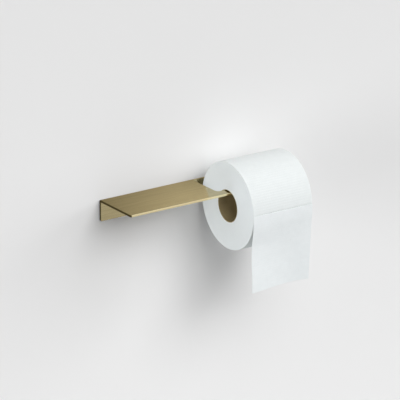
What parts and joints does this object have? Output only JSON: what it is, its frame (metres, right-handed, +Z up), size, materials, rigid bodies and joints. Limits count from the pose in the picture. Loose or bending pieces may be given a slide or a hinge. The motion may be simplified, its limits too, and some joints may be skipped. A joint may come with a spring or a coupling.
{
  "type": "toilet paper holder",
  "caption": "Wall-mounted toilet paper holder folded from brushed gold sheet, with a phone shelf and a notched arm that carries a tissue roll.",
  "frame": {"origin": "centre of the wall plate's back face, on the wall's surface", "axes": "+X along the wall towards the arm's free end, +Y into the wall, +Z up"},
  "size_m": [0.27, 0.1662, 0.1661],
  "materials": {
    "brushed_gold": "satin",
    "screw_steel": "satin",
    "plug_nylon": "matte",
    "core_board": "matte",
    "tissue_windings": "matte",
    "tissue_outer": "matte",
    "tissue_loose": "matte"
  },
  "bodies": {
    "bracket": {"shelf_bracket": "brushed_gold", "wall_screw_left": "screw_steel", "wall_screw_right": "screw_steel", "wall_plug_left": "plug_nylon", "wall_plug_right": "plug_nylon"},
    "hanging_sheet": {"loose_sheet": "tissue_loose"},
    "roll": {"roll_core": "core_board", "paper_windings": "tissue_windings", "outer_turn": "tissue_outer"}
  },
  "joints": [
    {"name": "roll_slide", "type": "slide", "parent": "bracket", "child": "hanging_sheet", "axis": [1, 0, 0], "range_m": [-0.007, 0.115]},
    {"name": "roll_spin", "type": "hinge", "parent": "hanging_sheet", "child": "roll", "pos_m": [0.0702, -0.06775, -0.00558], "axis": [1, 0, 0], "continuous": true}
  ]
}
